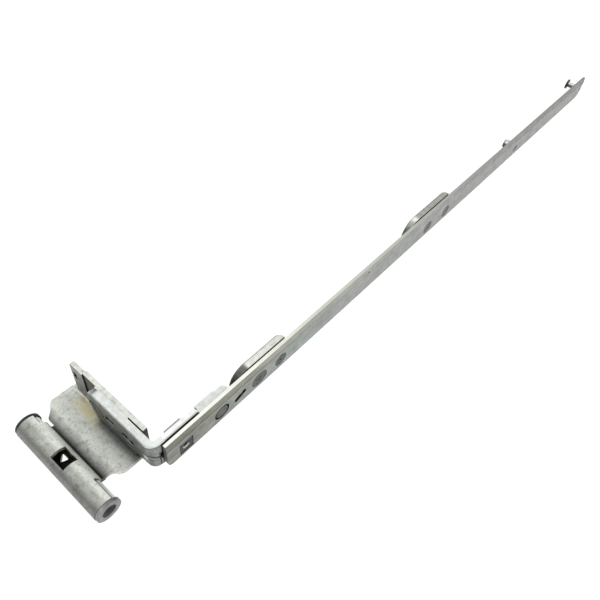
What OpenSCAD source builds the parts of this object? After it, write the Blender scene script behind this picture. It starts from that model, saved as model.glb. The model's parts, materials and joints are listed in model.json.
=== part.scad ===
// Top stay arm of a tilt-and-turn window: rolled hinge leaf, angle arm and long stay bar.
// Millimetres. +X runs along the stay bar, +Y is the knuckle axis, +Z is up.
// The origin is on the knuckle axis at the middle of the roll.

/* [Stay bar] */
// Length of the stay bar
bar_len = 441; // [300:1:600]
// Height of the stay bar
bar_h = 16; // [12:0.5:20]
// Thickness of the stay bar
bar_t = 2.2; // [1.5:0.1:4]
// Width of the bevel along the upper front edge
bevel_w = 3.8; // [1:0.1:6]
// Depth of that bevel
bevel_d = 0.55; // [0.2:0.05:1]
// Corner radius at the hinge end
near_corner_r = 3; // [1:0.5:5]
// Corner radius at the far end
far_corner_r = 4.5; // [1:0.5:7]
// Height of the rivet row above the bar's lower edge
row_z = 6; // [4:0.1:10]

/* [Knuckle] */
// Distance from the knuckle axis to the bar's hinge end
knuckle_x = 26.05; // [20:0.05:40]
// Distance from the bar's front face to the middle of the roll
knuckle_y = 30.25; // [20:0.05:50]
// Height of the bar's lower edge above the knuckle axis
knuckle_z = 1.55; // [0:0.05:5]
// Outer radius of the roll
roll_r = 5.65; // [4:0.05:8]
// Length of the roll
roll_len = 50; // [30:1:80]
// Thickness of the leaf sheet
sheet_t = 2.05; // [1:0.05:3]
// Radius of the concave bend between leaf and roll
neck_r = 2.2; // [1:0.1:4]
// Angle at which the roll's free end stops
roll_end_a = 315; // [250:1:316]
// Angle at which the notched ends of the roll start
notch_a = 60; // [30:1:90]
// Length of the notch at the bar side
notch_near = 10.8; // [5:0.1:15]
// Length of the notch at the far side
notch_far = 4.6; // [2:0.1:10]
// Inner radius of the bushes
bush_bore_r = 3.05; // [2:0.05:4]
// Radius of the bush flanges
bush_flange_r = 5.4; // [4:0.1:7]
// Thickness of the bush flanges
bush_flange_t = 1.5; // [0.5:0.1:3]
// Length of each bush sleeve
bush_len = 16; // [8:1:24]

/* [Hinge leaf] */
// Length of the leaf's upright flange
flange_len = 45.7; // [30:0.1:60]
// Height of the flange above the leaf's top
flange_h = 21.1; // [15:0.1:30]
// Sideways step of the flange past the angle arm
joggle = 0.6; // [0.2:0.1:1.5]
// Length of the stepped part of the flange
joggle_len = 8.3; // [4:0.1:15]
// Inner radius of the bend between leaf and flange
leaf_bend_r = 0.9; // [0.5:0.1:2]

/* [Angle arm] */
// Thickness of the arm's cross leg
cross_t = 2.8; // [2:0.1:5]
// Thickness of the arm's leg behind the bar
leg_t = 2.8; // [2:0.1:5]
// Outer radius of the arm's bend
arm_bend_r = 5.5; // [3:0.1:8]
// Length of the cross leg from the bar's front face
cross_len = 44.8; // [30:0.1:60]
// Length of the thick leg behind the bar
leg_len = 19; // [12:0.5:30]
// Length of the thin tongue behind the bar
tongue_len = 35; // [25:0.5:50]

/* [Adjuster] */
// Largest sideways adjustment each way
adjust_travel = 1.5; // [0.5:0.1:3]
// Offset of the adjusting screw's eccentric pin
eccentric = 2.12; // [1:0.02:3]
// Distance of the adjusting screw from the bar's hinge end
adjuster_x = 9.7; // [8:0.1:15]
// Height of the adjusting screw above the bar's lower edge
adjuster_z = 5; // [4:0.1:8]

/* [Guide blocks] */
// Thickness of the guide blocks
block_t = 3.9; // [2:0.1:6]
// Radius of the sloping nose of each block
nose_r = 8.3; // [5:0.5:15]
// Start of the hinge-side block's full height
block_a_x = 48; // [40:0.5:60]
// End of the hinge-side block
block_a_end = 71.2; // [60:0.1:90]
// Start of the far block's full height
block_b_x = 185.4; // [150:0.1:220]
// End of the far block
block_b_end = 220.3; // [200:0.1:250]

/* [Studs] */
// Position of the mid pin along the bar
mid_pin_x = 315.5; // [250:0.5:380]
// Outer radius of the mid pin roller
mid_roller_r = 3.3; // [2:0.1:5]
// Distance of the mid pin's end behind the bar's front face
mid_pin_end = 8.3; // [6:0.1:12]
// Position of the end stud along the bar
stud_x = 436.5; // [400:0.5:440]
// Height of the end stud above the bar's lower edge
stud_z = 8; // [5:0.5:12]
// Outer radius of the end stud's roller
stud_roller_r = 2; // [1.5:0.1:3]
// Radius of the end stud's disc head
stud_head_r = 3.7; // [3:0.1:6]
// Distance of the stud's end behind the bar's front face
stud_end = 10.9; // [8:0.1:14]

/* [Hidden] */
$fn = 64;

// small overlap for cutters
cut = 0.5;
// angle by which curved strips run into their neighbours
lap_a = 0.5;
// length by which flat strips run into their neighbours
lap = 0.1;
// running clearance on radius
run = 0.05;
// sideways clearance of sliding faces
side = 0.05;

// derived positions in the bar's own frame
axis_x = -knuckle_x;
axis_z = -knuckle_z;
roll_y0 = knuckle_y - roll_len / 2;
roll_y1 = knuckle_y + roll_len / 2;
roll_in = roll_r - sheet_t;
leaf_lift = 0.05;
leaf_low = axis_z - roll_r + leaf_lift;
leaf_top = leaf_low + sheet_t;
neck_z = leaf_top + neck_r;
neck_dz = neck_z - axis_z;
neck_dx = sqrt((roll_r + neck_r) * (roll_r + neck_r) - neck_dz * neck_dz);
neck_x = axis_x + neck_dx;
neck_a = atan2(neck_dz, neck_dx);

key_r = 4.8;
key_root = 0.3;
key_gap_a = 6;
key_gap_near = 0.7;
key_gap_far = 0.6;

cross_x0 = -4.5;
cross_x1 = cross_x0 + cross_t;
shim_t = 0.6;
flange_x0 = cross_x1 + shim_t;
flange_x1 = flange_x0 + sheet_t;
flange_y0 = 12;
flange_y1 = flange_y0 + flange_len;
leaf_y0 = 13.7;
leaf_y1 = 61.7;
root_y0 = roll_y0 + notch_near;
neck_inset = 1.2;
neck_y0 = root_y0 + neck_inset;
root_y1 = roll_y1 - notch_far;
scoop_x = -17;
scoop_r = 3.5;
scoop_lift = 0.3;
near_curve_x = 3.5;
near_curve_y = 1.2;
near_curve_r = 5;
far_corner = [[-12.4, leaf_y1 + cut], [-12.4, leaf_y1], [-13.8, leaf_y1 - 1],
    [-15.7, leaf_y1 - 3.9], [-18.6, leaf_y1 - 6.8], [-22, leaf_y1 - 6.8], [-22, leaf_y1 + cut]];
far_bend_inset = 1;
window_x = -2.8;
window_y = -3.4;
window_w = 6.5;
window_len = 8.2;
low_window = [[2.6, 3.1], [2.6, 7.8], [-0.4, 4.9]];
flange_hole_y = flange_y1 - 2.3;
flange_hole_z = 9;
flange_hole_half = 1.1;
flange_hole_r = 1.3;
flange_corner = 1.4;
shim_y = 20.5;
shim_z = -3.4;
shim_len = 20.5;
shim_h = 19.3;

leg_gap = 0.6;
leg_y0 = bar_t + leg_gap;
leg_y1 = leg_y0 + leg_t;
bend_y = leg_y0 + arm_bend_r;
bend_x = cross_x0 + arm_bend_r;
ledge_a = 222;
ledge_shift = 2.1;
ledge_r = 3.86;
ledge_h = 6.4;
pocket_x = 2.1;
pocket_z = 7.5;
pocket_r = 2.9;
pocket_deep = 1.2;
tongue_y0 = bar_t + side;
tongue_y1 = 5.2;
tongue_root = 2;
arm_low = 0.6;
pad_x = 3.8;
pad_len = 8.3;
pad_t = 0.8;
pad_drop = 0.4;
rear_pad_x = 19.6;
rear_pad_len = 9.8;
rear_pad_t = 0.6;
cross_side = [[bend_y, 0], [14, -0.2], [15.5, -4], [40, -4], [42.5, 3.5],
    [cross_len, 7.3], [42.3, 13.7], [38.5, bar_h], [bend_y, bar_h]];
inner_bend_r = 2;
inner_clear_x = 4;
inner_clear_y = 8;
leg_corner_r = 1.6;
tongue_corner_r = 2.2;

guide_rivet_x = 29.5;
guide_shaft_r = 2;
guide_head_r = 3.3;
guide_head_t = 1;
guide_sink_r = 4.1;
guide_sink_t = 1.1;
guide_len = 6.3;
guide_back_r = 3.1;
guide_back_t = 1.1;
washer_r = 4.7;
washer_t = 1.2;
washer_seat = [14, 2, 11];
washer_seat_z = 6;
near_main_x = 52.4;
near_end_x = 66.6;
far_main_x = 196.4;
far_end_x = 217.3;
main_half = 0.6;
main_shaft_r = 2.4;
main_sink_r = 4.2;
main_head_r = 4.1;
main_back_r = 3.5;
main_back_sink_r = 3.6;
end_shaft_r = 2.2;
end_sink_r = 3.7;
end_head_r = 3.6;
end_back_r = 3.1;
end_back_sink_r = 3.2;
far_main_sink_r = 4;
far_main_head_r = 3.9;
far_end_sink_r = 3.85;
far_end_head_r = 3.75;
sink_t = 0.9;
head_inset = 0.08;
head_t = 0.82;
back_t = 0.9;
back_sink_t = 1;
mark_half = 1.6;
mark_w = 0.5;
mark_deep = 0.35;
centre_r = 0.7;
centre_deep = 0.5;

block_low = 0.8;
block_corner_r = 2.9;
rebate_in = 1;
rebate_h = 1.6;
rebate_t = 0.45;

gauge_x = 134.6;
gauge_z = 13.2;
gauge_r = 0.5;
gauge_deep = 0.6;

locate_x = 40.4;
locate_tilt = -22;
locate_front = 0.3;
locate_back = 0.5;
locate_half = 2.3;
locate_r = 1.4;
locate_pin_r = 0.65;
locate_pin_x = 1.1;
locate_floor = 0.5;
seat_w = 7;
seat_h = 7.6;
seat_front = 0.3;
seat_hole_r = 1.9;
screw_front = 1.1;
socket_r = 1.2;
socket_deep = 0.9;
screw_body_r = 2.4;
screw_disc_r = 3.7;
screw_pin_r = 1.4;
disc_back = 3.2;
disc_step = 0.1;
screw_pin_len = 4.6;
end_gap = 0.1;
eccentric_mid = 1.81;
eccentric_half = 0.4;
eccentric_gap = 0.09;
retainer_gap = 0.8;
retainer_r = 3.2;
retainer_t = 0.9;

flange_rivet_y = 38.6;
flange_rivet_z = 5;
flange_shaft_r = 2.5;
flange_sink_r = 4.6;
flange_sink_t = 1;
flange_head_x = 0.1;
flange_head_r = 4.25;
flange_head_t = 0.9;
flange_shaft_x = 0.5;
flange_back_r = 3.9;
flange_back_t = 1.2;
slot_pin_y = 18.5;
slot_pin_z = 5.3;
slot_pin_r = 1.2;
slot_pin_lap = 0.3;
slot_pin_end_r = 1.3;
slot_pin_back_r = 2.2;
slot_pin_back_t = 0.8;
slot_half = 1.9;
slot_r = 1.8;
recess_y = 27.4;
recess_z = 4.5;
recess_len = 5;
recess_h = 2.8;
recess_deep = 1.6;

mid_shaft_r = 1.6;
mid_head_r = 2.5;
mid_head_t = 0.72;
mid_sink_r = 2.6;
mid_sink_t = 0.8;
mid_shaft_y = 0.6;
mid_back_r = 2.7;
mid_back_t = 0.7;
stud_shaft_r = 1.3;
stud_front = 0.1;
stud_head_t = 1.1;

// places its children, drawn in the bar's own frame, in the part's frame
module place() {
    translate([knuckle_x, -knuckle_y, knuckle_z])
        children();
}

// solid round bar along +Y
module rod(x, y0, z, r, len) {
    translate([x, y0 + len, z])
        rotate([90, 0, 0])
            cylinder(r = r, h = len);
}

// solid round bar along +X
module rod_x(x0, y, z, r, len) {
    translate([x0, y, z])
        rotate([0, 90, 0])
            cylinder(r = r, h = len);
}

// curved strip about an axis along Y, angle measured from +X towards +Z
module arc_strip(x, z, r_in, r_out, y0, y1, a0, a1) {
    translate([x, y1, z])
        rotate([90, 0, 0])
            rotate([0, 0, a0 - lap_a])
                rotate_extrude(angle = a1 - a0 + 2 * lap_a)
                    translate([r_in, 0])
                        square([r_out - r_in, y1 - y0]);
}

// slot with round ends, cut along Y
module slot_y(x, z, half_x, r, y0, y1) {
    rod(x - half_x, y0, z, r, y1 - y0);
    rod(x + half_x, y0, z, r, y1 - y0);
    translate([x - half_x, y0, z - r])
        cube([2 * half_x, y1 - y0, 2 * r]);
}

// upright slot with round ends, cut along Y
module slot_up(x, z, half_z, r, y0, y1) {
    rod(x, y0, z - half_z, r, y1 - y0);
    rod(x, y0, z + half_z, r, y1 - y0);
    translate([x - r, y0, z - half_z])
        cube([2 * r, y1 - y0, 2 * half_z]);
}

// block that removes an outer corner, seen along Y; sx and sz point into the material
module corner_y(x, z, r, sx, sz, y0, y1) {
    difference() {
        translate([sx > 0 ? x - cut : x - r, y0, sz > 0 ? z - cut : z - r])
            cube([r + cut, y1 - y0, r + cut]);
        rod(x + sx * r, y0 - cut, z + sz * r, r, y1 - y0 + 2 * cut);
    }
}

// block that removes an outer corner, seen along Z; sx and sy point into the material
module corner_z(x, y, r, sx, sy, z0, z1) {
    difference() {
        translate([sx > 0 ? x - cut : x - r, sy > 0 ? y - cut : y - r, z0])
            cube([r + cut, r + cut, z1 - z0]);
        translate([x + sx * r, y + sy * r, z0 - cut])
            cylinder(r = r, h = z1 - z0 + 2 * cut);
    }
}

// hole for a flush rivet: counterbore for the front head and a bore behind it
module rivet_hole(x, z, head_r, head_t, shaft_r) {
    rod(x, -cut, z, head_r, head_t + cut);
    rod(x, -cut, z, shaft_r, bar_t + 2 * cut);
}

// outline of the leaf plate, seen along Z
module leaf_outline() {
    difference() {
        translate([neck_x - lap, leaf_y0])
            square([flange_x0 - leaf_bend_r - neck_x + 2 * lap, leaf_y1 - leaf_y0]);
        // scoop beside the roll
        translate([scoop_x, leaf_y0 + scoop_lift])
            circle(r = scoop_r);
        translate([neck_x - cut, leaf_y0 - cut])
            square([scoop_x - neck_x + cut, scoop_r + scoop_lift + cut]);
        // rounded corner between the near edge and the scoop
        difference() {
            translate([scoop_x, leaf_y0 - cut])
                square([scoop_r + near_curve_x, cut + near_curve_y]);
            translate([scoop_x + scoop_r + near_curve_x, leaf_y0 + near_curve_r])
                circle(r = near_curve_r);
        }
        // sloping far corner
        polygon(far_corner);
    }
}

module hinge_leaf() {
    color("silver")
    place() {
        difference() {
            union() {
                // flat leaf
                translate([0, 0, leaf_low])
                    linear_extrude(height = sheet_t)
                        leaf_outline();
                // bend up into the flange
                arc_strip(flange_x0 - leaf_bend_r, leaf_top + leaf_bend_r, leaf_bend_r,
                    leaf_bend_r + sheet_t, leaf_y0, flange_y1 - joggle_len + lap, 270, 360);
                arc_strip(flange_x0 - leaf_bend_r - joggle, leaf_top + leaf_bend_r, leaf_bend_r,
                    leaf_bend_r + sheet_t, flange_y1 - joggle_len, leaf_y1 - far_bend_inset,
                    270, 360);
                // upright flange with its stepped end
                translate([flange_x0, flange_y0, leaf_top + leaf_bend_r - lap])
                    cube([sheet_t, flange_len - joggle_len + lap, flange_h - leaf_bend_r + lap]);
                translate([flange_x0 - joggle, flange_y1 - joggle_len,
                    leaf_top + leaf_bend_r - lap])
                    cube([sheet_t, joggle_len, flange_h - leaf_bend_r + lap]);
                // neck up into the roll
                arc_strip(neck_x, neck_z, neck_r, neck_r + sheet_t, neck_y0, root_y1,
                    180 + neck_a, 270);
                arc_strip(axis_x, axis_z, roll_in, roll_r, root_y0, root_y1, neck_a, notch_a);
                // roll
                arc_strip(axis_x, axis_z, roll_in, roll_r, roll_y0, roll_y1, notch_a, roll_end_a);
            }
            // window in the top of the roll and a smaller one below it
            translate([axis_x + window_x, knuckle_y + window_y, axis_z])
                cube([window_w, window_len, 2 * roll_r]);
            translate([axis_x, knuckle_y, axis_z - 2 * roll_r])
                linear_extrude(height = 2 * roll_r)
                    polygon(low_window);
            // rivet and pin holes in the flange
            rod_x(flange_x0 - cut, flange_rivet_y, flange_rivet_z, flange_shaft_r,
                sheet_t + 2 * cut);
            rod_x(flange_x0 - cut, slot_pin_y, slot_pin_z, slot_pin_end_r, sheet_t + 2 * cut);
            // small oblong hole near the flange's far end
            for (dz = [-flange_hole_half, flange_hole_half])
                rod_x(flange_x0 - joggle - cut, flange_hole_y, flange_hole_z + dz,
                    flange_hole_r, sheet_t + 2 * cut);
            // rounded top corner at the flange's far end
            translate([0, flange_y1, flange_h + leaf_top])
                rotate([45, 0, 0])
                    cube([4 * sheet_t, flange_corner, flange_corner], center = true);
        }
    }
}

// flanged bush with a key that fills the notch in the roll
module bush(y_face, dir, key_len) {
    y_roll = y_face + dir * bush_flange_t;
    y_in = y_roll + dir * bush_len;
    y_key = y_roll + dir * key_len;
    difference() {
        union() {
            rod(axis_x, min(y_face, y_roll), axis_z, bush_flange_r, bush_flange_t);
            rod(axis_x, min(y_roll - dir * lap, y_in), axis_z, roll_in, bush_len + lap);
            arc_strip(axis_x, axis_z, roll_in - key_root, key_r,
                min(y_roll - dir * lap, y_key), max(y_roll - dir * lap, y_key),
                roll_end_a - 360 + key_gap_a, notch_a - key_gap_a);
        }
        rod(axis_x, min(y_face, y_in) - cut, axis_z, bush_bore_r,
            bush_flange_t + bush_len + 2 * cut);
    }
}

module knuckle_bush_near() {
    color("gray")
    place()
        bush(roll_y0 - bush_flange_t, 1, notch_near - key_gap_near);
}

module knuckle_bush_far() {
    color("gray")
    place()
        bush(roll_y1 + bush_flange_t, -1, notch_far - key_gap_far);
}

module flange_shim() {
    color("gainsboro")
    place()
        difference() {
            translate([cross_x1, shim_y, shim_z])
                cube([shim_t, shim_len, shim_h]);
            rod_x(cross_x1 - cut, flange_rivet_y, flange_rivet_z, flange_shaft_r, shim_t + 2 * cut);
        }
}

module angle_arm() {
    color("gainsboro")
    place() {
        difference() {
            union() {
                // cross leg, outlined as [y, z]
                translate([cross_x0, 0, 0])
                    rotate([90, 0, 90])
                        linear_extrude(height = cross_t)
                            polygon(cross_side);
                // bend
                intersection() {
                    translate([bend_x, bend_y, 0])
                        cylinder(r = arm_bend_r, h = bar_h);
                    translate([cross_x0 - cut, leg_y0 - cut, -cut])
                        cube([arm_bend_r + cut, arm_bend_r + cut, bar_h + 2 * cut]);
                }
                // coined ledge around the lower half of the bend
                translate([bend_x + ledge_shift * cos(ledge_a),
                    bend_y + ledge_shift * sin(ledge_a), 0])
                    cylinder(r = ledge_r, h = ledge_h);
                // thick leg, pad and tongue behind the bar
                translate([bend_x, leg_y0, 0])
                    cube([leg_len - bend_x, leg_t, bar_h]);
                translate([pad_x, leg_y1 - cut, arm_low])
                    cube([pad_len, cut + pad_t, bar_h - arm_low - pad_drop]);
                translate([leg_len - tongue_root, tongue_y0, arm_low])
                    cube([tongue_len - leg_len + tongue_root, tongue_y1 - tongue_y0,
                        bar_h - arm_low]);
                translate([rear_pad_x, tongue_y1 - cut, arm_low])
                    cube([rear_pad_len, cut + rear_pad_t, bar_h - arm_low]);
            }
            // inside of the bend
            translate([cross_x1, leg_y1, -cut])
                translate([inner_bend_r, inner_bend_r, 0])
                    cylinder(r = inner_bend_r, h = bar_h + 2 * cut);
            translate([cross_x1 + inner_bend_r, leg_y1, -cut])
                cube([inner_clear_x, inner_bend_r, bar_h + 2 * cut]);
            translate([cross_x1, leg_y1 + inner_bend_r, -cut])
                cube([inner_clear_x + inner_bend_r, inner_clear_y, bar_h + 2 * cut]);
            // pocket beside the bar's end
            rod(pocket_x, leg_y0 - cut, pocket_z, pocket_r, pocket_deep + cut);
            // rounded back corners
            corner_z(leg_len, leg_y1, leg_corner_r, -1, -1, -cut, bar_h + cut);
            corner_z(tongue_len, tongue_y1, tongue_corner_r, -1, -1, -cut, bar_h + cut);
            // pocket for the screw's disc and upright slot for its eccentric pin
            slot_y(adjuster_x, adjuster_z, adjust_travel + end_gap, screw_disc_r + run,
                leg_y0 - cut, disc_back + side);
            slot_up(adjuster_x, adjuster_z + eccentric_mid, eccentric_half,
                screw_pin_r + eccentric_gap, leg_y0, leg_y1 + pad_t + cut);
            // slot for the guide rivet
            slot_y(guide_rivet_x, row_z, adjust_travel + end_gap, guide_shaft_r + run,
                tongue_y0 - cut, tongue_y1 + rear_pad_t + cut);
            // flat seat for the guide rivet's washer
            translate([guide_rivet_x - washer_seat[0] / 2, tongue_y1, row_z - washer_seat_z])
                cube(washer_seat);
            // countersunk rivet hole, pin slot and marks on the cross leg
            rod_x(cross_x0 - cut, flange_rivet_y, flange_rivet_z, flange_sink_r, flange_sink_t + cut);
            rod_x(cross_x0 - cut, flange_rivet_y, flange_rivet_z, flange_shaft_r, cross_t + 2 * cut);
            for (dy = [-slot_half, slot_half])
                rod_x(cross_x0 - cut, slot_pin_y + dy, slot_pin_z, slot_r, cross_t + 2 * cut);
            translate([cross_x0 - cut, slot_pin_y - slot_half, slot_pin_z - slot_r])
                cube([cross_t + 2 * cut, 2 * slot_half, 2 * slot_r]);
            translate([cross_x0 - cut, recess_y, recess_z])
                cube([recess_deep + cut, recess_len, recess_h]);
        }
    }
}

module flange_rivet() {
    color("silver")
    place() {
        rod_x(cross_x0 + flange_head_x, flange_rivet_y, flange_rivet_z, flange_head_r,
            flange_head_t);
        rod_x(cross_x0 + flange_shaft_x, flange_rivet_y, flange_rivet_z, flange_shaft_r,
            flange_x1 - cross_x0);
        rod_x(flange_x1, flange_rivet_y, flange_rivet_z, flange_back_r, flange_back_t);
    }
}

module slot_pin() {
    color("silver")
    place() {
        rod_x(cross_x0 + slot_pin_lap, slot_pin_y, slot_pin_z, slot_pin_r, cross_t + shim_t);
        rod_x(flange_x0 - slot_pin_lap, slot_pin_y, slot_pin_z, slot_pin_end_r,
            sheet_t + slot_pin_lap);
        rod_x(flange_x1, slot_pin_y, slot_pin_z, slot_pin_back_r, slot_pin_back_t);
    }
}

module stay_arm_bar() {
    color("silver")
    place() {
        difference() {
            rotate([90, 0, 90])
                linear_extrude(height = bar_len)
                    polygon([[0, 0], [bar_t, 0], [bar_t, bar_h], [bevel_d, bar_h],
                        [0, bar_h - bevel_w]]);
            corner_y(0, 0, near_corner_r, 1, 1, -cut, bar_t + cut);
            corner_y(bar_len, 0, far_corner_r, -1, 1, -cut, bar_t + cut);
            // square window for the adjuster's seat
            translate([adjuster_x - seat_w / 2, -cut, adjuster_z - seat_h / 2])
                cube([seat_w, bar_t + 2 * cut, seat_h]);
            rivet_hole(guide_rivet_x, row_z, guide_sink_r, guide_sink_t, guide_shaft_r);
            // oblong locating slot
            translate([locate_x, 0, row_z])
                rotate([0, locate_tilt, 0])
                    union() {
                        slot_y(0, 0, locate_half, locate_r, -cut, bar_t - locate_floor);
                        rod(locate_pin_x, 0, 0, locate_pin_r, bar_t + cut);
                    }
            for (dx = [-main_half, main_half])
                rivet_hole(near_main_x + dx, row_z, main_sink_r, sink_t, main_shaft_r);
            rivet_hole(near_end_x, row_z, end_sink_r, sink_t, end_shaft_r);
            rivet_hole(far_main_x, row_z, far_main_sink_r, sink_t, main_shaft_r);
            rivet_hole(far_end_x, row_z, far_end_sink_r, sink_t, end_shaft_r);
            rivet_hole(mid_pin_x, row_z, mid_sink_r, mid_sink_t, mid_shaft_r);
            rod(stud_x, -cut, stud_z, stud_shaft_r, bar_t + 2 * cut);
            // small gauge dimple
            rod(gauge_x, -cut, gauge_z, gauge_r, cut + gauge_deep);
        }
    }
}

// square seat pressed into the bar's window
module adjuster_seat() {
    color("dimgray")
    place()
        difference() {
            translate([adjuster_x - seat_w / 2, seat_front, adjuster_z - seat_h / 2])
                cube([seat_w, bar_t - seat_front, seat_h]);
            rod(adjuster_x, 0, adjuster_z, seat_hole_r, bar_t + cut);
            rod(adjuster_x, screw_front - side, adjuster_z, screw_body_r + run, bar_t);
        }
}

module adjusting_screw() {
    color("silver")
    place()
        difference() {
            union() {
                rod(adjuster_x, screw_front, adjuster_z, screw_body_r, bar_t - screw_front + lap);
                rod(adjuster_x, bar_t + side, adjuster_z, screw_disc_r, disc_back - bar_t - side);
                rod(adjuster_x, disc_back - disc_step, adjuster_z + eccentric, screw_pin_r,
                    screw_pin_len);
            }
            // hex socket
            rod_hex(adjuster_x, screw_front - cut, adjuster_z, socket_r, cut + socket_deep);
        }
}

// six-sided prism along +Y
module rod_hex(x, y0, z, r, len) {
    translate([x, y0 + len, z])
        rotate([90, 0, 0])
            cylinder(r = r, h = len, $fn = 6);
}

// washer peened on the eccentric pin behind the arm
module adjuster_retainer() {
    color("gainsboro")
    place()
        difference() {
            rod(adjuster_x, leg_y1 + retainer_gap + side, adjuster_z + eccentric, retainer_r,
                retainer_t);
            rod(adjuster_x, leg_y1, adjuster_z + eccentric, screw_pin_r,
                retainer_gap + side + retainer_t + cut);
        }
}

module guide_rivet() {
    color("silver")
    place() {
        rod(guide_rivet_x, guide_sink_t - guide_head_t, row_z, guide_head_r, guide_head_t);
        rod(guide_rivet_x, guide_head_t, row_z, guide_shaft_r, guide_len);
        rod(guide_rivet_x, tongue_y1 + washer_t + side, row_z, guide_back_r, guide_back_t);
    }
}

module guide_rivet_washer() {
    color("gainsboro")
    place()
        difference() {
            rod(guide_rivet_x, tongue_y1 + side, row_z, washer_r, washer_t);
            rod(guide_rivet_x, tongue_y1, row_z, guide_shaft_r, side + washer_t + cut);
        }
}

module locating_pin() {
    color("silver")
    place()
        translate([locate_x, 0, row_z])
            rotate([0, locate_tilt, 0])
                rod(locate_pin_x, locate_front, 0, locate_pin_r, bar_t + locate_back);
}

// guide block with a rounded nose towards the hinge
module guide_block(x_full, x_end, main_x, end_x) {
    y1 = bar_t + block_t;
    difference() {
        union() {
            translate([x_full, bar_t, block_low])
                cube([x_end - x_full, block_t, bar_h - block_low]);
            intersection() {
                rod(x_full, bar_t, bar_h - nose_r, nose_r, block_t);
                translate([x_full - nose_r, bar_t - cut, block_low])
                    cube([nose_r + cut, block_t + 2 * cut, bar_h]);
            }
        }
        corner_z(x_end, y1, block_corner_r, -1, -1, 0, bar_h + cut);
        // rebate along the upper front edge
        translate([x_full - rebate_in, bar_t - cut, bar_h - rebate_h])
            cube([x_end - x_full + rebate_in + cut, cut + rebate_t, rebate_h + cut]);
        rod(main_x, bar_t - cut, row_z, main_shaft_r, block_t + 2 * cut);
        rod(end_x, bar_t - cut, row_z, end_shaft_r, block_t + 2 * cut);
        rod(main_x, y1 - back_sink_t, row_z, main_back_sink_r, back_sink_t + cut);
        rod(end_x, y1 - back_sink_t, row_z, end_back_sink_r, back_sink_t + cut);
    }
}

module guide_block_near() {
    color("lightgray")
    place()
        difference() {
            guide_block(block_a_x, block_a_end, near_main_x, near_end_x);
            // room for the locating pin
            translate([locate_x, 0, row_z])
                rotate([0, locate_tilt, 0])
                    rod(locate_pin_x, bar_t - cut, 0, locate_pin_r,
                        locate_front + locate_back + 2 * cut);
        }
}

module guide_block_far() {
    color("lightgray")
    place()
        guide_block(block_b_x, block_b_end, far_main_x, far_end_x);
}

// flush rivet through the bar and a guide block
module block_rivet(x, head_r, shaft_r, back_r) {
    y_back = bar_t + block_t - back_sink_t;
    rod(x, head_inset, row_z, head_r, head_t);
    rod(x, head_t, row_z, shaft_r, y_back + lap - head_t);
    rod(x, y_back, row_z, back_r, back_t);
}

module near_block_main_rivet() {
    color("darkgray")
    place()
        difference() {
            union() {
                block_rivet(near_main_x, main_head_r, main_shaft_r, main_back_r);
                for (dx = [-main_half, main_half])
                    rod(near_main_x + dx, head_inset, row_z, main_head_r, head_t);
            }
            // slot mark across the head
            translate([near_main_x - mark_half, -cut, row_z - mark_w / 2])
                cube([2 * mark_half, cut + mark_deep, mark_w]);
        }
}

module near_block_end_rivet() {
    color("darkgray")
    place()
        difference() {
            block_rivet(near_end_x, end_head_r, end_shaft_r, end_back_r);
            rod(near_end_x, -cut, row_z, centre_r, cut + centre_deep);
        }
}

module far_block_main_rivet() {
    color("darkgray")
    place()
        block_rivet(far_main_x, far_main_head_r, main_shaft_r, main_back_r);
}

module far_block_end_rivet() {
    color("darkgray")
    place()
        block_rivet(far_end_x, far_end_head_r, end_shaft_r, end_back_r);
}

module mid_pin() {
    color("silver")
    place() {
        rod(mid_pin_x, head_inset, row_z, mid_head_r, mid_head_t);
        rod(mid_pin_x, mid_shaft_y, row_z, mid_shaft_r, mid_pin_end - mid_shaft_y - lap);
        rod(mid_pin_x, mid_pin_end - mid_back_t, row_z, mid_back_r, mid_back_t);
    }
}

module mid_pin_roller() {
    color("silver")
    place()
        difference() {
            rod(mid_pin_x, bar_t + side, row_z, mid_roller_r,
                mid_pin_end - bar_t - mid_back_t - 2 * side);
            rod(mid_pin_x, bar_t - cut, row_z, mid_shaft_r + run, mid_pin_end);
        }
}

module end_stud() {
    color("silver")
    place() {
        rod(stud_x, stud_front, stud_z, stud_shaft_r, stud_end - stud_front - lap);
        rod(stud_x, stud_end - stud_head_t, stud_z, stud_head_r, stud_head_t);
    }
}

module end_stud_roller() {
    color("silver")
    place()
        difference() {
            rod(stud_x, bar_t + side, stud_z, stud_roller_r,
                stud_end - bar_t - stud_head_t - 2 * side);
            rod(stud_x, bar_t - cut, stud_z, stud_shaft_r + run, stud_end);
        }
}

hinge_leaf();
knuckle_bush_near();
knuckle_bush_far();
flange_shim();
angle_arm();
flange_rivet();
slot_pin();
stay_arm_bar();
adjuster_seat();
adjusting_screw();
adjuster_retainer();
guide_rivet();
guide_rivet_washer();
locating_pin();
guide_block_near();
near_block_main_rivet();
near_block_end_rivet();
guide_block_far();
far_block_main_rivet();
far_block_end_rivet();
mid_pin();
mid_pin_roller();
end_stud();
end_stud_roller();
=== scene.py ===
"""Window stay arm: materials, edge rounding, studio light and camera."""
import json
import math

import bpy
from mathutils import Matrix, Vector


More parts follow.
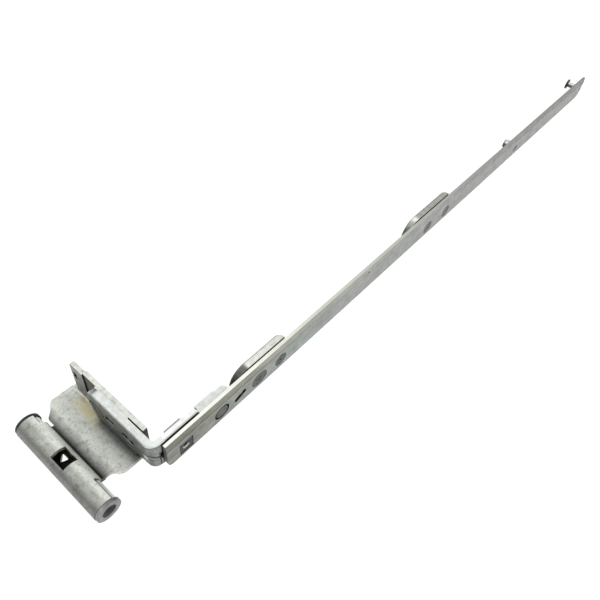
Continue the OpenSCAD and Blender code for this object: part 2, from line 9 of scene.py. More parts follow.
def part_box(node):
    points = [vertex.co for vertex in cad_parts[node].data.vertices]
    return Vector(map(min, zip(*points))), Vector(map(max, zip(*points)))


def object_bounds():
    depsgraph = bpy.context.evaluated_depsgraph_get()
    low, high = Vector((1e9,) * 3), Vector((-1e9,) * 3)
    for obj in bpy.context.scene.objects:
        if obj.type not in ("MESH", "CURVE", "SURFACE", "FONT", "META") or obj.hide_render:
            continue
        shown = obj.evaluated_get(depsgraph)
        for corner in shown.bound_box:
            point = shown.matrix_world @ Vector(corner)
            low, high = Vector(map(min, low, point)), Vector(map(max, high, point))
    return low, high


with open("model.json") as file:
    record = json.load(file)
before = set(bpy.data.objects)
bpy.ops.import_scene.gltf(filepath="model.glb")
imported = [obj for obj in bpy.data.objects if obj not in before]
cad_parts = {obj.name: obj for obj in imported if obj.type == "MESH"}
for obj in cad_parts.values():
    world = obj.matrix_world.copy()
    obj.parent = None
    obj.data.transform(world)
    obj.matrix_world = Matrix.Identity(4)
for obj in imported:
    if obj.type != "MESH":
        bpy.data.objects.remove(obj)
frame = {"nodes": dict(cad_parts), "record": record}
cad_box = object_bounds()
nodes = frame["nodes"]
scene = bpy.context.scene
MM = 0.001
X, Y, Z = 0, 1, 2

# ---------------------------------------------------------------- places and colours
# lower corner of the bar's front face at its hinge end
bar_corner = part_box("stay_arm_bar")[0]
BEVEL_LOW_MM = 12.2
ROLL_HALF_MM = 25.0
# colours of painted shade: black in holes, gaps, slits and seams, and the dark of shade and dirt in
# the gaps
SHADE_BLACK = (0.012, 0.012, 0.011)
DEEP_SHADE_BLACK = (0.010, 0.010, 0.009)
SHADE_AND_DIRT = (0.010, 0.011, 0.009)


def at(axis, distance_mm):
    """Place along an axis, in metres, of a point that far from the bar's corner."""
    return bar_corner[axis] + distance_mm * MM


def grey(value, warm=0.0):
    """A grey of that linear brightness, warmer where warm is above 0."""
    return (value * (1 + 0.06 * warm), value * (1 + 0.03 * warm), value * (1 - 0.10 * warm))


def tinted(value, red, green, blue):
    """A colour of that linear brightness with each channel scaled."""
    return (value * red, value * green, value * blue)


def leaf_grey(value):
    """The leaf's slightly green grey."""
    return tinted(value, 0.99, 1.02, 0.93)


# ---------------------------------------------------------------- material helpers
class Graph:
    """Short names for building one material's node tree."""

    def __init__(self, name):
        self.mat = bpy.data.materials.new(name)
        self.mat.use_nodes = True
        self.tree = self.mat.node_tree
        self.bsdf = self.tree.nodes["Principled BSDF"]
        self.place = self.node("ShaderNodeTexCoord").outputs["Object"]

    def node(self, kind, **settings):
        made = self.tree.nodes.new(kind)
        for key, value in settings.items():
            setattr(made, key, value)
        return made

    def link(self, source, target):
        self.tree.links.new(source, target)

    def feed(self, socket, value):
        """Links a socket to a node's output, or sets it to a number or a colour."""
        if isinstance(value, bpy.types.NodeSocket):
            self.link(value, socket)
        elif isinstance(value, tuple):
            socket.default_value = (*value, 1)
        else:
            socket.default_value = value

    # patterns
    def noise(self, size_mm, detail=4.0, rough=0.55, stretch=(1, 1, 1)):
        """Noise whose blobs are about size_mm across, stretched along the axes."""
        mapping = self.node("ShaderNodeMapping")
        mapping.inputs["Scale"].default_value = [1 / s for s in stretch]
        self.link(self.place, mapping.inputs["Vector"])
        made = self.node("ShaderNodeTexNoise")
        made.inputs["Scale"].default_value = 1 / (size_mm * MM)
        made.inputs["Detail"].default_value = detail
        made.inputs["Roughness"].default_value = rough
        self.link(mapping.outputs["Vector"], made.inputs["Vector"])
        return made.outputs["Fac"]

    def worn(self, size_mm, low, high, detail=5.0):
        """Roughness that drifts between low and high."""
        return self.span(self.noise(size_mm, detail=detail), 0.3, 0.7, low, high)

    # values
    def span(self, value, low, high, out_low=0.0, out_high=1.0):
        """Maps low..high smoothly to out_low..out_high; low may be above high."""
        made = self.node("ShaderNodeMapRange", interpolation_type="SMOOTHSTEP")
        self.feed(made.inputs["Value"], value)
        made.inputs["From Min"].default_value = low
        made.inputs["From Max"].default_value = high
        made.inputs["To Min"].default_value = out_low
        made.inputs["To Max"].default_value = out_high
        return made.outputs["Result"]

    def between(self, value, low, high, soft_mm=0.15):
        """1 where a place lies between low and high, with soft ends."""
        soft = soft_mm * MM
        return self.both(self.span(value, low - soft, low + soft),
                         self.span(value, high + soft, high - soft))

    def math(self, operation, first, second):
        made = self.node("ShaderNodeMath", operation=operation)
        self.feed(made.inputs[0], first)
        self.feed(made.inputs[1], second)
        return made.outputs["Value"]

    def both(self, first, *others):
        """Product of masks and amounts."""
        for other in others:
            first = self.math("MULTIPLY", first, other)
        return first

    # places
    def axis(self, axis):
        """One coordinate of the place, in metres."""
        made = self.node("ShaderNodeSeparateXYZ")
        self.link(self.place, made.inputs["Vector"])
        return made.outputs[axis]

    def rise(self, axis, start_mm, full_mm, low=0.0, high=1.0):
        """Goes from low at one place along an axis to high at another."""
        return self.span(self.axis(axis), at(axis, start_mm), at(axis, full_mm), low, high)

    def within(self, axis, low_mm, high_mm, soft_mm=0.15):
        """1 between two places along an axis, with soft ends."""
        return self.between(self.axis(axis), at(axis, low_mm), at(axis, high_mm), soft_mm)

    def from_knuckle(self):
        """Distance from the knuckle axis, in metres."""
        flat = self.node("ShaderNodeVectorMath", operation="MULTIPLY")
        self.link(self.place, flat.inputs[0])
        flat.inputs[1].default_value = (1, 0, 1)
        length = self.node("ShaderNodeVectorMath", operation="LENGTH")
        self.link(flat.outputs["Vector"], length.inputs[0])
        return length.outputs["Value"]

    # directions
    def normal(self, axis):
        """One component of the surface normal, in the object's frame."""
        geometry = self.node("ShaderNodeNewGeometry")
        to_object = self.node("ShaderNodeVectorTransform", vector_type="NORMAL",
                              convert_from="WORLD", convert_to="OBJECT")
        self.link(geometry.outputs["Normal"], to_object.inputs["Vector"])
        parts = self.node("ShaderNodeSeparateXYZ")
        self.link(to_object.outputs["Vector"], parts.inputs["Vector"])
        return parts.outputs[axis]

    def facing(self, axis, low=0.75, high=0.95):
        """1 where the surface faces +axis, fading to 0 between high and low."""
        return self.span(self.normal(axis), low, high)

    def crevice(self, reach_mm, low=0.35, high=0.85):
        """1 on open faces, falling to 0 in gaps and corners narrower than reach_mm."""
        made = self.node("ShaderNodeAmbientOcclusion", samples=12)
        made.inputs["Distance"].default_value = reach_mm * MM
        return self.span(made.outputs["AO"], low, high)

    # colours
    def ramp(self, value, stops):
        """Colour ramp from (position, colour) pairs."""
        made = self.node("ShaderNodeValToRGB")
        elements = made.color_ramp.elements
        while len(elements) < len(stops):
            elements.new(0.5)
        for element, (position, colour) in zip(elements, stops):
            element.position = position
            element.color = (*colour, 1)
        self.feed(made.inputs["Fac"], value)
        return made.outputs["Color"]

    def along(self, value, stops):
        """Colour that follows a value through (value, colour) stops."""
        low, high = stops[0][0], stops[-1][0]
        part = self.node("ShaderNodeMapRange")
        self.feed(part.inputs["Value"], value)
        part.inputs["From Min"].default_value = low
        part.inputs["From Max"].default_value = high
        return self.ramp(part.outputs["Result"],
                         [((stop - low) / (high - low), colour) for stop, colour in stops])

    def tone(self, axis, stops):
        """Colour that follows the place along an axis through (mm, colour) stops."""
        return self.along(self.axis(axis), [(at(axis, mm), colour) for mm, colour in stops])

    def mix(self, factor, first, second, blend="MIX"):
        made = self.node("ShaderNodeMix", data_type="RGBA", blend_type=blend)
        self.feed(made.inputs["Factor"], factor)
        self.feed(made.inputs["A"], first)
        self.feed(made.inputs["B"], second)
        return made.outputs["Result"]

    def over(self, base, colour, *masks):
        """A colour laid over the base where all the masks are 1."""
        return self.mix(self.both(*masks), base, colour)

    def mottle(self, base, pattern, stops):
        """The base multiplied by the colours that a pattern gives."""
        return self.mix(1.0, base, self.ramp(pattern, stops), "MULTIPLY")

    def shade_and_grime(self, colour, reach_mm=1.2, amount=0.9):
        """Painted shade and dark dirt in the gaps between pieces."""
        return self.mix(self.crevice(reach_mm), self.mix(amount, colour, SHADE_AND_DIRT), colour)

    # the shader
    def bumps(self, height, strength, depth_mm):
        made = self.node("ShaderNodeBump")
        made.inputs["Strength"].default_value = strength
        made.inputs["Distance"].default_value = depth_mm * MM
        self.link(height, made.inputs["Height"])
        self.link(made.outputs["Normal"], self.bsdf.inputs["Normal"])

    def finish(self, colour, roughness, metallic, specular=0.5):
        self.feed(self.bsdf.inputs["Base Color"], colour)
        self.feed(self.bsdf.inputs["Roughness"], roughness)
        self.bsdf.inputs["Specular IOR Level"].default_value = specular
        self.bsdf.inputs["Metallic"].default_value = metallic
        return self.mat


# ---------------------------------------------------------------- materials
def zinc_sheet():
    """Zinc-plated leaf: speckled grey, bright in the middle between painted shade, yellow stain
    near the flange.
    """
    g = Graph("zinc_sheet")
    # flat leaf: painted shade beside the roll and the flange, lighter between them
    flat = g.tone(X, [(-20.5, leaf_grey(0.02)), (-19.2, leaf_grey(0.04)),
                      (-18.5, leaf_grey(0.13)), (-17.5, leaf_grey(0.24)),
                      (-16.5, leaf_grey(0.37)), (-15.2, leaf_grey(0.46)),
                      (-14, leaf_grey(0.62)), (-11.5, leaf_grey(0.60)),
                      (-7.5, leaf_grey(0.40)), (-4.5, leaf_grey(0.28))])
    # no shade from the arm on the far half of the leaf
    flat = g.over(flat, leaf_grey(0.55), g.rise(Y, 37, 43), g.rise(X, -14, -9))
    # painted shadow of the arm's cross leg on the near half of the leaf, beside the flange
    flat = g.over(flat, leaf_grey(0.10), g.rise(X, -8, -5), g.rise(Y, 41, 38), 0.75)
    # roll: painted highlight on the leaf side, painted shade towards the outside
    around = g.along(g.normal(X), [(-1.0, leaf_grey(0.21)), (-0.87, leaf_grey(0.20)),
                                   (-0.71, leaf_grey(0.155)), (-0.42, leaf_grey(0.25)),
                                   (-0.09, leaf_grey(0.31)), (0.22, leaf_grey(0.66)),
                                   (0.57, leaf_grey(0.80)), (0.80, leaf_grey(0.76)),
                                   (0.94, leaf_grey(0.92)), (1.0, leaf_grey(0.50))])
    base = g.over(flat, around, g.rise(X, -20.3, -21.5), g.rise(Z, -5.6, -4.6))
    # upright flange: its side painted in shade, darker towards the bottom
    wall = g.both(g.rise(Z, -4.4, -3.4), g.rise(X, -6, -5))
    base = g.over(base, g.tone(Z, [(-4, leaf_grey(0.10)), (8, leaf_grey(0.16)),
                                   (15, leaf_grey(0.22))]), wall)
    # painted shade between the arm and the flange's step, and painted black shade in the slit
    # behind the arm
    shaded = g.tone(Z, [(-4, tinted(0.03, 1.0, 1.04, 0.85)), (17, leaf_grey(0.045))])
    base = g.over(base, shaded, wall, g.rise(Y, 49.6, 49.2), 0.92)
    base = g.over(base, DEEP_SHADE_BLACK, wall, g.rise(Y, 24, 23.5), g.facing(X, -0.7, -0.9))
    # walls of the small oblong hole, painted black for the shade in them
    base = g.over(base, SHADE_BLACK, g.within(X, -1.5, 0.2), g.within(Y, 53.6, 57.2),
                  g.within(Z, 6, 12))
    # broad clouds, then a fine speckle
    base = g.mottle(base, g.noise(7, detail=8, rough=0.62),
                    [(0.30, grey(0.70)), (0.46, grey(0.98)), (0.70, grey(1.12))])
    base = g.mottle(base, g.noise(1.1, detail=6, rough=0.75),
                    [(0.32, grey(0.45)), (0.45, grey(0.92)), (0.60, grey(1.03)),
                     (0.72, grey(1.16))])
    # yellow passivation stain on the leaf beside the flange
    base = g.over(base, (0.52, 0.47, 0.27), g.facing(Z, 0.6, 0.95), g.rise(Z, -3, -4.5),
                  g.rise(X, -9.5, -5.5), g.rise(Y, 36, 42), g.rise(Y, 57, 51),
                  g.span(g.noise(5, detail=5), 0.34, 0.52), 0.85)
    # scattered darker stains
    base = g.over(base, (0.13, 0.145, 0.13),
                  g.span(g.noise(3, detail=8, rough=0.7), 0.56, 0.68), 0.5)
    # bare sheared top edge of the flange
    sheared = g.ramp(g.noise(2.6, detail=6, rough=0.6),
                     [(0.34, leaf_grey(0.40)), (0.48, leaf_grey(0.60)), (0.7, leaf_grey(0.72))])
    base = g.over(base, sheared, g.facing(Z, 0.8, 0.97), g.rise(Z, 14, 15.5))
    # cut faces of the roll are olive; its inside is painted black for shade
    near_roll = g.rise(X, -20.3, -20.8)
    radius = g.from_knuckle()
    olive = g.ramp(g.noise(1.5, detail=3),
                   [(0.38, (0.20, 0.19, 0.125)), (0.6, (0.56, 0.54, 0.41))])
    base = g.over(base, olive, near_roll, g.span(radius, 5.55 * MM, 5.35 * MM))
    base = g.over(base, (0.016, 0.016, 0.013), near_roll, g.span(radius, 4.3 * MM, 3.7 * MM))
    g.bumps(g.noise(0.9, detail=8, rough=0.74), 0.5, 0.07)
    # painted shade in the wide hollows, then painted shade and dirt in the narrow gaps
    shaded_and_dirty = g.shade_and_grime(g.shade_and_grime(base, 6, 0.5), 1.0)
    return g.finish(shaded_and_dirty, g.worn(3, 0.38, 0.58), 0.45)


def zinc_bar():
    """Zinc-plated bar: olive and smoky near the hinge, painted highlight on the upper edge that
    dulls along it.
    """
    g = Graph("zinc_bar")
    front = g.tone(X, [(0, tinted(0.235, 0.99, 1.01, 0.86)), (12, tinted(0.205, 0.99, 1.01, 0.88)),
                       (24, tinted(0.215, 0.99, 1.01, 0.89)), (60, tinted(0.270, 0.99, 1.01, 0.96)),
                       (140, tinted(0.275, 1.0, 1.0, 0.97)), (220, tinted(0.245, 1.0, 1.0, 0.97)),
                       (441, tinted(0.215, 1.0, 1.0, 0.97))])
    base = g.over(front, (0.33, 0.335, 0.30), g.rise(Z, 6, 12, 0.0, 0.22))
    # clouds, calmer away from the hinge end
    clouded = g.mottle(base, g.noise(9, detail=8, rough=0.64, stretch=(2.2, 1, 1)),
                       [(0.30, grey(0.72)), (0.5, grey(1.0)), (0.72, grey(1.24))])
    base = g.over(base, clouded, g.rise(X, 130, 70, 0.35, 1.0))
    # bands of green and pink that drift along the bar
    base = g.mottle(base, g.noise(30, detail=3, stretch=(2.5, 1, 0.6)),
                    [(0.36, (1.03, 0.98, 1.01)), (0.5, (0.99, 1.0, 0.99)),
                     (0.64, (0.94, 1.03, 1.0))])
    # upper front bevel, with painted shade in its lower crease that fades away from the hinge end
    bevel = g.tone(X, [(0, tinted(0.19, 1.0, 1.01, 0.80)), (14, tinted(0.20, 1.0, 1.01, 0.80)),
                       (33, tinted(0.245, 1.0, 1.01, 0.84)), (60, tinted(0.315, 1.0, 1.02, 0.91)),
                       (110, tinted(0.335, 1.0, 1.02, 0.95)), (200, tinted(0.285, 1.0, 1.01, 0.96)),
                       (330, tinted(0.195, 1.0, 1.02, 0.92)),
                       (441, tinted(0.165, 1.0, 1.02, 0.92))])
    bevel = g.mottle(bevel, g.noise(5, detail=7, stretch=(3, 1, 1)),
                     [(0.3, grey(0.84)), (0.5, grey(1.0)), (0.7, grey(1.12))])
    base = g.over(base, bevel, g.rise(Z, BEVEL_LOW_MM - 0.1, BEVEL_LOW_MM + 0.2))
    base = g.over(base, (0.055, 0.055, 0.042), g.rise(Z, BEVEL_LOW_MM - 0.5, BEVEL_LOW_MM),
                  g.rise(Z, BEVEL_LOW_MM + 0.6, BEVEL_LOW_MM + 0.1),
                  g.rise(X, 150, 0, 0.15, 0.95))
    # smoky patches near the hinge end
    smoke = g.span(g.noise(6, detail=7, rough=0.66, stretch=(1.6, 1, 1)), 0.47, 0.62)
    base = g.over(base, (0.105, 0.112, 0.098), g.rise(X, 75, 5), smoke, 0.55)
    # dark speckle and fine scratches along the bar
    base = g.mottle(base, g.noise(0.9, detail=6, rough=0.75),
                    [(0.34, grey(0.62)), (0.46, grey(0.97)), (0.60, grey(1.02)),
                     (0.72, grey(1.16))])
    scratch = g.span(g.noise(0.5, detail=4, stretch=(30, 1, 1)), 0.60, 0.72)
    base = g.over(base, (0.50, 0.50, 0.46), scratch, 0.28)
    # walls of the holes and the gaps around the flush rivets are painted black for the shade in
    # them
    base = g.over(base, SHADE_BLACK, g.within(Y, 0.3, 1.95, 0.1), g.within(Z, 1, 11),
                  g.within(X, 4, 432))
    # dark tip at the far end, and painted shade on the end face at the hinge
    base = g.over(base, (0.05, 0.05, 0.045), g.rise(X, 437.5, 440.5), g.rise(Z, 9, 14), 0.85)
    base = g.over(base, (0.040, 0.041, 0.035), g.facing(X, -0.15, -0.9), 0.85)
    # sheared upper edge: bare, with a painted highlight bright near the hinge that fades towards
    # the far end
    top = g.tone(X, [(0, (0.93, 0.93, 0.87)), (57, (0.90, 0.90, 0.80)),
                     (90, (0.66, 0.67, 0.59)), (135, (0.55, 0.57, 0.51)),
                     (200, (0.43, 0.44, 0.41)), (260, (0.32, 0.33, 0.31)),
                     (441, (0.24, 0.25, 0.235))])
    base = g.over(base, top, g.facing(Z, 0.75, 0.95), g.rise(Z, 14, 15))
    # shadowed gap between the bar and the angle arm's thick leg
    base = g.over(base, (0.012, 0.012, 0.010), g.rise(Y, 1.9, 2.1), g.facing(Z, -0.5, -0.2),
                  g.rise(X, 19.4, 18.8))
    g.bumps(g.noise(0.8, detail=7, rough=0.7, stretch=(3, 1, 1)), 0.4, 0.04)
    return g.finish(g.shade_and_grime(base, 0.9), g.worn(5, 0.32, 0.50), 0.80)


def bright_steel():
    """Cleaner plated steel of the angle arm; top faces painted nearly white as lit, -X sides in
    painted shade.
    """
    g = Graph("bright_steel")
    # painted shade on the sides facing -X, darker towards the bottom
    side = g.tone(Z, [(0, tinted(0.062, 0.95, 1.03, 0.94)), (5, tinted(0.065, 0.95, 1.03, 0.96)),
                      (11, tinted(0.12, 0.96, 1.03, 1.0)), (16, tinted(0.16, 0.97, 1.03, 1.0))])
    bend = g.ramp(g.noise(6, detail=7), [(0.32, tinted(0.15, 0.97, 1.01, 0.98)),
                                         (0.52, tinted(0.22, 0.98, 1.01, 0.98)),
                                         (0.74, tinted(0.30, 0.98, 1.01, 0.99))])
    base = g.over(bend, side, g.facing(X, -0.55, -0.98))
    base = g.mottle(base, g.noise(2.6, detail=8, rough=0.7),
                    [(0.34, grey(0.62)), (0.48, grey(1.0)), (0.68, grey(1.35))])
    # painted shade in a dark line above the coined ledge on the bend, and a fainter dark line along
    # it
    on_bend = g.both(g.rise(Y, 8.3, 7.4), g.rise(X, 1, 0.6))
    base = g.over(base, (0.035, 0.038, 0.034), on_bend, g.rise(Z, 6.35, 6.5),
                  g.rise(Z, 7.8, 7.0), 0.75)
    base = g.over(base, (0.05, 0.055, 0.05), on_bend, g.rise(Z, 4.0, 4.6),
                  g.rise(Z, 5.6, 5.0), 0.45)
    # painted black shade in the pocket beside the bar's end
    base = g.over(base, DEEP_SHADE_BLACK, g.within(Z, 4.7, 10.2, 0.4), g.rise(X, -1.5, -1.0),
                  g.rise(Y, 4.4, 3.9))
    # painted shade in a dark spot, and a painted highlight under it, where the ledge meets the
    # cross leg
    corner = g.both(g.within(Y, 7.0, 9.4, 0.4), g.rise(X, -3.5, -3.9))
    base = g.over(base, (0.015, 0.016, 0.014), corner, g.within(Z, 6.0, 8.0, 0.35), 0.85)
    base = g.over(base, (0.60, 0.62, 0.58), corner, g.within(Z, 3.6, 5.1, 0.35), 0.8)
    # front of the leg, in the gap behind the bar, painted black for shade
    base = g.over(base, (0.012, 0.012, 0.010), g.facing(Y, -0.965, -0.995))
    # top faces: painted light, white over the leg behind the bar, a little duller over the cross
    # leg
    white = g.mix(g.span(g.noise(5), 0.35, 0.7), (0.95, 0.96, 0.93), (0.86, 0.88, 0.85))
    dimmer_lit_top = g.mix(g.span(g.noise(3, detail=6), 0.35, 0.65), (0.78, 0.80, 0.77),
                 (0.60, 0.63, 0.61))
    # painted shade where the leg's front edge turns down into the black gap behind the bar
    rolled = g.tone(Y, [(2.75, grey(0.03)), (2.9, grey(0.30)), (3.2, grey(0.60)),
                        (3.6, grey(0.85)), (3.9, grey(1.0))])
    top = g.over(dimmer_lit_top, g.mix(1.0, white, rolled, "MULTIPLY"), g.rise(Y, 8, 5),
                 g.rise(X, 19.2, 18.8))
    # the raised pad behind the leg is darker
    top = g.over(top, (0.30, 0.31, 0.30), g.rise(Y, 5.45, 5.65), g.within(X, 3, 13))
    base = g.over(base, top, g.facing(Z, 0.35, 0.8))
    # rounded upper edge: painted highlight, with painted shade in a dark line under it, narrower
    # towards the bar
    drop = g.along(g.normal(X), [(-1.0, grey(2.4 * MM)), (-0.87, grey(1.9 * MM)),
                                 (-0.6, grey(1.1 * MM)), (-0.3, grey(0.5 * MM)),
                                 (0.0, grey(0.4 * MM))])
    level = g.math("ADD", g.axis(Z), drop)
    outer = g.both(g.facing(X, 0.1, -0.05), g.rise(X, 2.5, 1.5))
    base = g.over(base, (0.045, 0.05, 0.046), outer,
                  g.between(level, at(Z, 15.2), at(Z, 15.75), 0.3), 0.65)
    base = g.over(base, dimmer_lit_top, outer, g.span(level, at(Z, 15.8), at(Z, 16.5)), 0.8)
    # rivet ring, slot and recess on the cross leg are painted black inside for shade
    base = g.over(base, (0.012, 0.013, 0.012), g.within(X, -4.3, -1.8, 0.08),
                  g.within(Z, 0.2, 9.8), g.within(Y, 12, 44))
    g.bumps(g.noise(0.9, detail=7, rough=0.68), 0.4, 0.05)
    return g.finish(g.shade_and_grime(base, 1.0), g.worn(3, 0.28, 0.46), 0.80)


def die_cast():
    """Die-cast zinc guide blocks with fine upright tool marks."""
    g = Graph("die_cast")
    lines = g.noise(0.8, detail=5, rough=0.6, stretch=(0.5, 2, 10))
    base = g.ramp(lines, [(0.34, tinted(0.20, 0.98, 1.0, 0.96)),
                          (0.52, tinted(0.32, 1.0, 1.0, 0.97)),
                          (0.70, tinted(0.42, 1.0, 1.0, 0.97))])
    # painted shade on the faces turned towards -X
    base = g.over(base, (0.040, 0.043, 0.039), g.facing(X, 0.0, -0.85), 0.9)
    # top edges: painted shade on the sloping noses, and a painted highlight where the full height
    # starts
    edge = g.tone(X, [(39, grey(0.045)), (44, grey(0.085)), (47.4, grey(0.17)),
                      (48.2, grey(0.72)), (71, grey(0.66)), (176, grey(0.07)),
                      (179, grey(0.16)), (182, grey(0.34)), (184.4, grey(0.85)),
                      (186.2, grey(0.80)), (188, grey(0.37)), (225, grey(0.33))])
    edge = g.mottle(edge, g.noise(2.5, detail=6),
                    [(0.30, leaf_grey(0.74)), (0.50, leaf_grey(1.0)), (0.70, leaf_grey(1.14))])
    base = g.over(base, edge, g.facing(Z, 0.1, 0.3))
    # painted dark reflection on the rounded back edge, and painted black shade in the seam between
    # the block and the bar
    base = g.over(base, (0.12, 0.125, 0.115), g.facing(Z, 0.5, 0.8), g.rise(Y, 5.4, 5.9), 0.6)
    base = g.over(base, SHADE_BLACK, g.rise(Y, 3.0, 2.75))
    g.bumps(lines, 0.35, 0.05)
    return g.finish(g.shade_and_grime(base, 1.2), g.worn(2, 0.38, 0.56), 0.70)


def rivet_steel():
    """Flattened rivet heads, darker than the bar, with faint hammer marks."""
    g = Graph("rivet_steel")
    base = g.ramp(g.noise(2.0, detail=7), [(0.30, tinted(0.040, 0.97, 1.02, 0.93)),
                                           (0.52, tinted(0.072, 0.97, 1.02, 0.94)),
                                           (0.75, tinted(0.12, 0.98, 1.01, 0.94))])
    # painted shade on the sides turned towards -X
    base = g.over(base, (0.045, 0.050, 0.047), g.facing(X, -0.7, -0.95), 0.7)
    # upper sides of the heads on the leaf catch the light
    base = g.over(base, (0.85, 0.86, 0.83), g.facing(Z, 0.3, 0.7), g.rise(X, -1, -1.5))
    # painted highlight on the locating pin
    base = g.over(base, (0.70, 0.71, 0.66), g.within(X, 40.2, 42.6))
    # the adjusting screw lies in the dark of its seat
    base = g.over(base, (0.012, 0.012, 0.012), g.rise(Y, 0.9, 1.05), g.within(X, 6, 13),
                  g.rise(Y, 2.6, 2.3))
    g.bumps(g.noise(0.6, detail=6), 0.5, 0.05)
    return g.finish(g.shade_and_grime(base, 0.8), g.worn(1.5, 0.34, 0.52, detail=4), 0.4, specular=0.15)


def grey_bush():
    """Grey bushes in the knuckle, with a black rim at the far one."""
    g = Graph("grey_bush")
    base = g.ramp(g.noise(3, detail=7),
                  [(0.30, grey(0.14)), (0.55, grey(0.21, 0.2)), (0.75, grey(0.28, 0.3))])
    # key in the notch: painted light where it faces up, painted black shade along the edge of the
    # roll
    roll_end = ROLL_HALF_MM * MM
    key = g.along(g.normal(Z), [(0.0, grey(0.25)), (0.35, grey(0.60)), (0.62, grey(0.80)),
                                (0.74, grey(0.40)), (0.80, grey(0.015)), (1.0, grey(0.015))])
    base = g.over(base, key, g.between(g.axis(Y), -roll_end, roll_end, 0.1),
                  g.span(g.from_knuckle(), 4.2 * MM, 4.5 * MM))
    base = g.over(base, (0.012, 0.012, 0.012), g.span(g.axis(Y), roll_end - 0.3 * MM, roll_end))
    g.bumps(g.noise(0.7, detail=6), 0.35, 0.04)
    return g.finish(g.shade_and_grime(base, 1.0), g.worn(2, 0.38, 0.55, detail=4), 0.45)


def dark_insert():
    """Dark blue-grey square seat."""
    g = Graph("dark_insert")
    base = g.ramp(g.noise(2, detail=6), [(0.3, tinted(0.040, 0.95, 1.0, 1.10)),
                                         (0.7, tinted(0.080, 0.95, 1.0, 1.08))])
    # painted black shade in the joint along the window's upper edge and its edge nearest the hinge
    joint_shade = g.math("ADD", g.rise(X, 6.85, 6.6), g.rise(Z, 8.1, 8.35))
    base = g.over(base, (0.010, 0.010, 0.010), joint_shade)
    # the lower wall of the round hole is bare, with a painted highlight where it faces up
    base = g.over(base, (0.75, 0.76, 0.74), g.facing(Z, 0.3, 0.7))
    g.bumps(g.noise(0.6, detail=4), 0.3, 0.03)
    return g.finish(base, g.worn(1.5, 0.4, 0.6, detail=4), 0.0, specular=0.1)


MATERIALS = {make.__name__: make() for make in
             (zinc_sheet, zinc_bar, bright_steel, die_cast, rivet_steel, grey_bush, dark_insert)}


# ---------------------------------------------------------------- CAD nodes: finish and edges
EDGE_MM = {"hinge_leaf": 0.22, "stay_arm_bar": 0.18, "angle_arm": 0.35, "guide_block_near": 0.45,
           "guide_block_far": 0.45, "knuckle_bush_near": 0.3, "knuckle_bush_far": 0.3}
SMALL_EDGE_MM = 0.12
SMOOTH_DEG = 32


def dress(obj, slot, edge_mm):
    """Gives a node its material, rounds its edges and shades it smooth between them."""
    obj.data.materials.clear()
    obj.data.materials.append(MATERIALS[slot])
    edge = obj.modifiers.new("rounded_edges", "BEVEL")
    edge.width = edge_mm * MM
    edge.segments = 2
    edge.limit_method = "ANGLE"
    edge.angle_limit = math.radians(SMOOTH_DEG)
    edge.harden_normals = False
    for polygon in obj.data.polygons:
        polygon.use_smooth = True
    normals = obj.modifiers.new("face_normals", "WEIGHTED_NORMAL")
    normals.keep_sharp = True


for part in frame["record"]["subparts"]:
    name = part["node"]
    dress(nodes[name], part["material_slot"], EDGE_MM.get(name, SMALL_EDGE_MM))


# ---------------------------------------------------------------- floor, light, camera
FLOOR_HALF = 6.0
FLOOR_DROP_MM = 70
LIT_PLACE = (0.15, 0.0, 0.0)
# name, place, width and height, power
LIGHTS = (("key", (-0.55, 0.75, 1.25), (1.2, 1.2), 8),
          ("right_fill", (1.1, -0.5, 1.1), (0.9, 0.9), 5),
          ("front_fill", (-0.2, -1.1, 0.9), (1.0, 0.6), 3))
WORLD_STRENGTH = 0.85
CAMERA_AZIMUTH_DEG = -56.15
CAMERA_ELEVATION_DEG = 48.26
CAMERA_ROLL_DEG = 8.53
CAMERA_PLACE_MM = (-28.5, -114.9, 218.1)
CAMERA_LENS = 33.7
CAMERA_SHIFT = (0.0057, -0.0082)
CAMERA_CLIP_START = 0.005


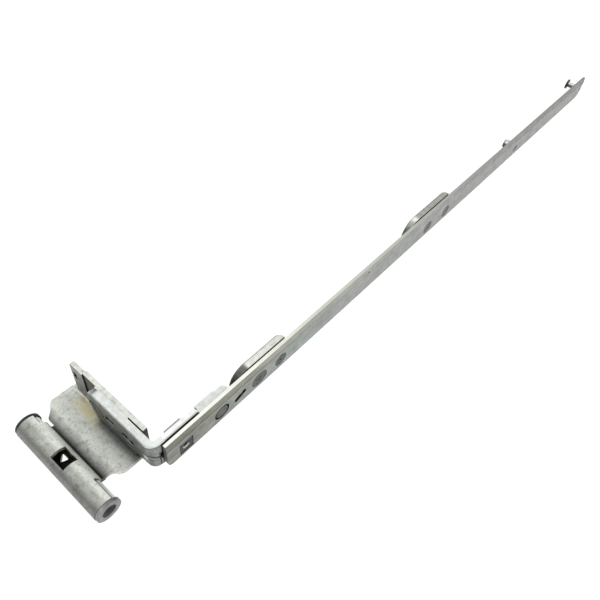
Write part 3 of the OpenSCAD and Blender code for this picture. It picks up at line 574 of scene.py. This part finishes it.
def stage_floor():
    mesh = bpy.data.meshes.new("floor")
    corners = [(-FLOOR_HALF, -FLOOR_HALF, 0), (FLOOR_HALF, -FLOOR_HALF, 0),
               (FLOOR_HALF, FLOOR_HALF, 0), (-FLOOR_HALF, FLOOR_HALF, 0)]
    mesh.from_pydata(corners, [], [(0, 1, 2, 3)])
    floor = bpy.data.objects.new("floor", mesh)
    scene.collection.objects.link(floor)
    floor.location.z = cad_box[0][Z] - FLOOR_DROP_MM * MM
    g = Graph("pale_floor")
    colour = g.ramp(g.noise(400, detail=2), [(0.3, grey(0.93)), (0.7, grey(0.95))])
    floor.data.materials.append(g.finish(colour, 0.9, 0.0))


def soft_light(name, place, size, power):
    data = bpy.data.lights.new(name, "AREA")
    data.shape = "RECTANGLE"
    data.size, data.size_y = size
    data.energy = power
    lamp = bpy.data.objects.new(name, data)
    lamp.location = place
    to_object = Vector(LIT_PLACE) - Vector(place)
    lamp.rotation_euler = to_object.to_track_quat("-Z", "Y").to_euler()
    scene.collection.objects.link(lamp)


def studio():
    for light in LIGHTS:
        soft_light(*light)
    world = bpy.data.worlds.new("studio")
    scene.world = world
    world.use_nodes = True
    background = world.node_tree.nodes["Background"]
    background.inputs["Color"].default_value = (1.0, 1.0, 1.0, 1.0)
    background.inputs["Strength"].default_value = WORLD_STRENGTH


def main_camera():
    """Looks down along the bar from the hinge end, slightly rolled."""
    azimuth = math.radians(CAMERA_AZIMUTH_DEG)
    elevation = math.radians(CAMERA_ELEVATION_DEG)
    roll = math.radians(CAMERA_ROLL_DEG)
    back = Vector((math.sin(azimuth) * math.cos(elevation),
                   -math.cos(azimuth) * math.cos(elevation), math.sin(elevation)))
    level = Vector((math.cos(azimuth), math.sin(azimuth), 0))
    right = level * math.cos(roll) + back.cross(level) * math.sin(roll)
    upward = back.cross(right)
    data = bpy.data.cameras.new("camera")
    data.lens = CAMERA_LENS
    data.shift_x, data.shift_y = CAMERA_SHIFT
    data.clip_start = CAMERA_CLIP_START
    camera = bpy.data.objects.new("camera", data)
    turn = Matrix((right, upward, back)).transposed()
    camera.matrix_world = Matrix.Translation(Vector(CAMERA_PLACE_MM) * MM) @ turn.to_4x4()
    scene.collection.objects.link(camera)
    scene.camera = camera


stage_floor()
studio()
main_camera()
scene.view_settings.view_transform = "Standard"
